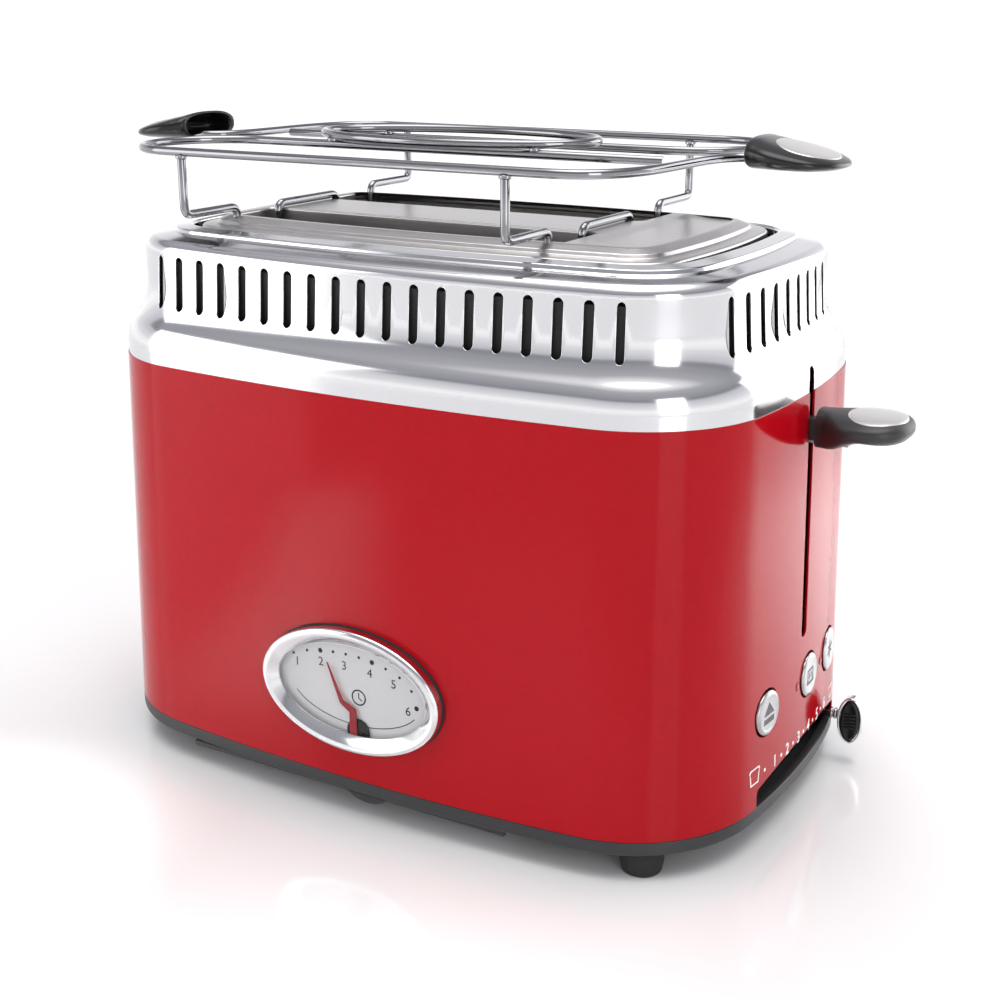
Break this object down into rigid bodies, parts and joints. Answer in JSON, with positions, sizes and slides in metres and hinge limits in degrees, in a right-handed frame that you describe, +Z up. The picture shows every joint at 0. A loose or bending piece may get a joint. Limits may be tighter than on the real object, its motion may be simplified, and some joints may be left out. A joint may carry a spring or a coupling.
{
  "type": "toaster",
  "caption": "Toaster with long wide slots, lever carriage, closing bread guides, push buttons, browning slider, front gauge, crumb tray and a lift-off wire warming rack.",
  "frame": {"origin": "on the floor plane under the middle of the bounds", "axes": "+X towards the end with the lever, +Y towards the back, so the gauge faces -Y, +Z up"},
  "size_m": [0.3456, 0.197, 0.2564],
  "materials": {
    "painted_red": "gloss",
    "polished_chrome": "polished",
    "brushed": "satin",
    "zinc_sheet": "galvanised",
    "black_plastic": "satin",
    "black_gloss": "gloss",
    "foot_rubber": "matte",
    "heater_card": "matte",
    "board": "satin",
    "white_face": "satin",
    "white_plastic": "satin",
    "clear_lens": "polished",
    "red_lens": "gloss",
    "red_hand": "satin"
  },
  "bodies": {
    "housing": {"wrap": "painted_red", "collar": "polished_chrome", "gauge_bezel": "polished_chrome", "top_plate": "brushed", "guide_rod": "brushed", "carriage_spring": "brushed", "frame_left": "zinc_sheet", "frame_right": "zinc_sheet", "reflector_front": "zinc_sheet", "reflector_back": "zinc_sheet", "latch_magnet": "zinc_sheet", "base": "black_plastic", "vent_liner": "black_plastic", "browning_pot": "black_plastic", "gauge_hub_cover": "black_plastic", "gauge_housing": "black_plastic", "gauge_motor": "black_plastic", "cord_gland": "black_plastic", "foot_front_right": "foot_rubber", "foot_back_right": "foot_rubber", "foot_front_left": "foot_rubber", "foot_back_left": "foot_rubber", "heater_front_outer": "heater_card", "heater_front_inner": "heater_card", "heater_back_inner": "heater_card", "heater_back_outer": "heater_card", "control_board": "board", "gauge_face": "white_face", "terminal_block": "white_plastic", "gauge_lens": "clear_lens", "light_front": "red_lens", "light_back": "red_lens"},
    "carriage": {"carriage_plate": "zinc_sheet", "support_front": "zinc_sheet", "support_back": "zinc_sheet", "lever_arm": "zinc_sheet", "lever_knob": "black_gloss", "lever_inset": "brushed"},
    "outer_guide_front": {"guide_front_outer": "zinc_sheet"},
    "inner_guide_front": {"guide_front_inner": "zinc_sheet"},
    "inner_guide_back": {"guide_back_inner": "zinc_sheet"},
    "outer_guide_back": {"guide_back_outer": "zinc_sheet"},
    "crumb_drawer": {"crumb_tray": "zinc_sheet"},
    "front_button": {"button_front": "black_gloss"},
    "middle_button": {"button_middle": "black_gloss"},
    "back_button": {"button_back": "black_gloss"},
    "browning_control": {"browning_stem": "black_plastic", "browning_knob": "black_gloss", "browning_rim": "polished_chrome"},
    "hand": {"gauge_hand": "red_hand"},
    "rack": {"rack_wire_front": "polished_chrome", "rack_wire_back": "polished_chrome", "rack_oval": "polished_chrome", "rack_leg_left": "polished_chrome", "rack_leg_right": "polished_chrome", "rack_handle_left": "black_gloss", "rack_handle_right": "black_gloss", "handle_inset_left": "brushed", "handle_inset_right": "brushed"}
  },
  "joints": [
    {"name": "carriage_slide", "type": "slide", "parent": "housing", "child": "carriage", "axis": [0, 0, 1], "range_m": [-0.076, 0.015], "stiffness_N_per_m": 120, "springref_m": 0.012, "deforming": ["carriage_spring"]},
    {"name": "outer_guide_front_slide", "type": "slide", "parent": "housing", "child": "outer_guide_front", "axis": [0, 1, 0], "range_m": [-0.0016, 0.0078]},
    {"name": "inner_guide_front_slide", "type": "slide", "parent": "housing", "child": "inner_guide_front", "axis": [0, -1, 0], "range_m": [-0.0016, 0.0078]},
    {"name": "inner_guide_back_slide", "type": "slide", "parent": "housing", "child": "inner_guide_back", "axis": [0, 1, 0], "range_m": [-0.0016, 0.0078]},
    {"name": "outer_guide_back_slide", "type": "slide", "parent": "housing", "child": "outer_guide_back", "axis": [0, -1, 0], "range_m": [-0.0016, 0.0078]},
    {"name": "crumb_tray_slide", "type": "slide", "parent": "housing", "child": "crumb_drawer", "axis": [0, -1, 0], "range_m": [0, 0.14]},
    {"name": "front_button_press", "type": "slide", "parent": "housing", "child": "front_button", "axis": [-1, 0, 0], "range_m": [0, 0.002], "stiffness_N_per_m": 400, "springref_m": -0.001},
    {"name": "middle_button_press", "type": "slide", "parent": "housing", "child": "middle_button", "axis": [-1, 0, 0], "range_m": [0, 0.002], "stiffness_N_per_m": 400, "springref_m": -0.001},
    {"name": "back_button_press", "type": "slide", "parent": "housing", "child": "back_button", "axis": [-1, 0, 0], "range_m": [0, 0.002], "stiffness_N_per_m": 400, "springref_m": -0.001},
    {"name": "browning_slide", "type": "slide", "parent": "housing", "child": "browning_control", "axis": [0, -1, 0], "range_m": [0, 0.076]},
    {"name": "hand_turn", "type": "hinge", "parent": "housing", "child": "hand", "pos_m": [-0.00465, -0.09433, 0.0352], "axis": [0, 1, 0], "range_deg": [-25, 80]},
    {"name": "rack_lift", "type": "slide", "parent": "housing", "child": "rack", "axis": [0, 0, 1], "range_m": [0, 0.06]}
  ],
  "couplings": [
    {"joint": "outer_guide_front_slide", "follows": "carriage_slide", "ratio": -0.1},
    {"joint": "inner_guide_front_slide", "follows": "carriage_slide", "ratio": -0.1},
    {"joint": "inner_guide_back_slide", "follows": "carriage_slide", "ratio": -0.1},
    {"joint": "outer_guide_back_slide", "follows": "carriage_slide", "ratio": -0.1}
  ]
}
